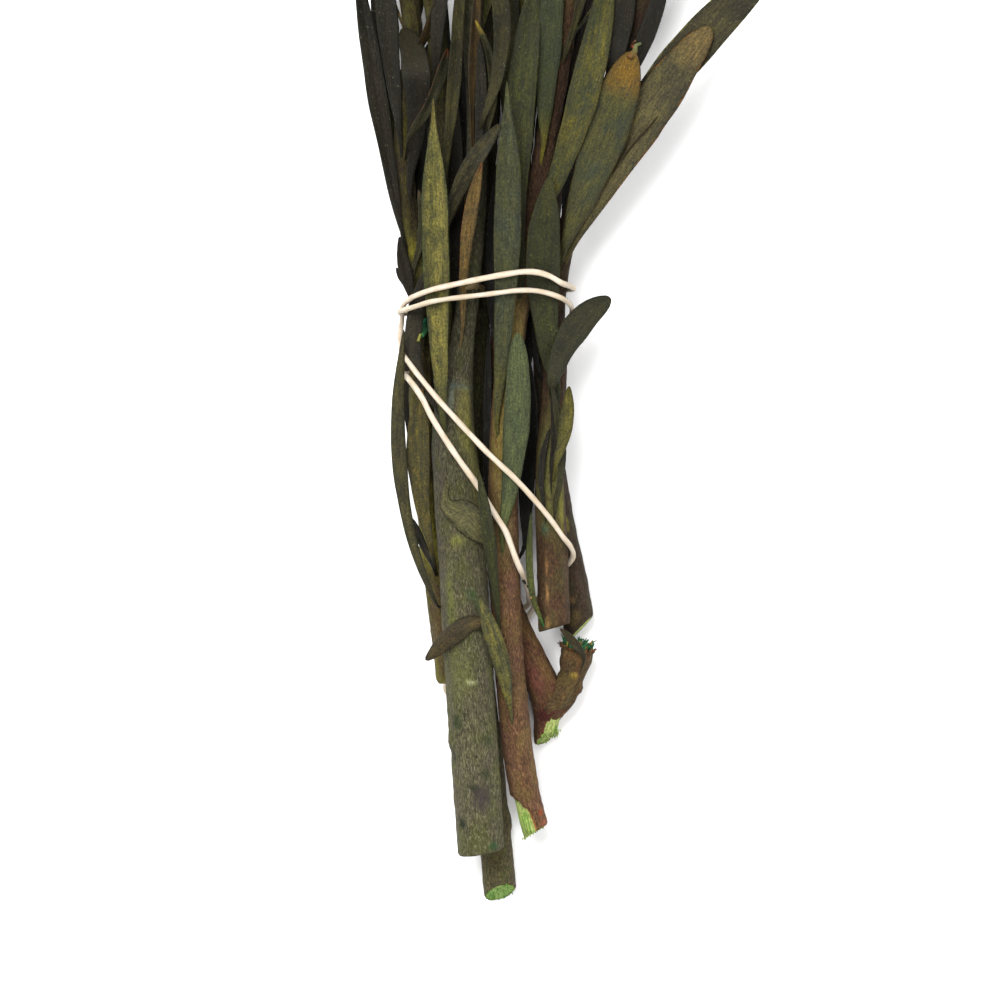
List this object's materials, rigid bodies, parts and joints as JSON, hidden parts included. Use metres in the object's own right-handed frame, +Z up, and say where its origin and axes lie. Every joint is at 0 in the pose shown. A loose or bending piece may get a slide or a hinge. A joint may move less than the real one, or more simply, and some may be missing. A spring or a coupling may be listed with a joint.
{
  "type": "tied bunch of leucadendron stems",
  "caption": "Bunch of cut, leafy leucadendron stems with flower heads, held by an elastic band, lying on a surface.",
  "frame": {"origin": "middle of the bunch's footprint, on the surface that it lies on", "axes": "+Y runs along the stems from the cut ends to the flower heads, +Z points up from the surface, +X to the right seen from above with the heads away"},
  "size_m": [0.2737, 0.4858, 0.0371],
  "materials": {
    "bark_olive": "matt, finely striated bark with olive leaves",
    "bark_red": "matt reddish-brown bark with green leaves",
    "bark_maroon": "matt maroon-brown bark",
    "bark_brown": "matt brown bark with ochre streaks and green leaves",
    "bark_dark": "matt dark brown bark",
    "bract": "satin olive bracts with ochre edges",
    "elastic": "matt cream elastic"
  },
  "bodies": {
    "root": {"stem_1": "bark_olive", "stem_2": "bark_olive", "stem_3": "bark_red", "stem_4": "bark_maroon", "stem_5": "bark_brown", "stem_6": "bark_dark", "stem_7": "bark_olive", "head_1": "bract", "head_2": "bract", "head_3": "bract", "head_4": "bract", "head_5": "bract", "head_6": "bract", "head_7": "bract", "head_8": "bract", "elastic_band": "elastic"}
  },
  "joints": []
}
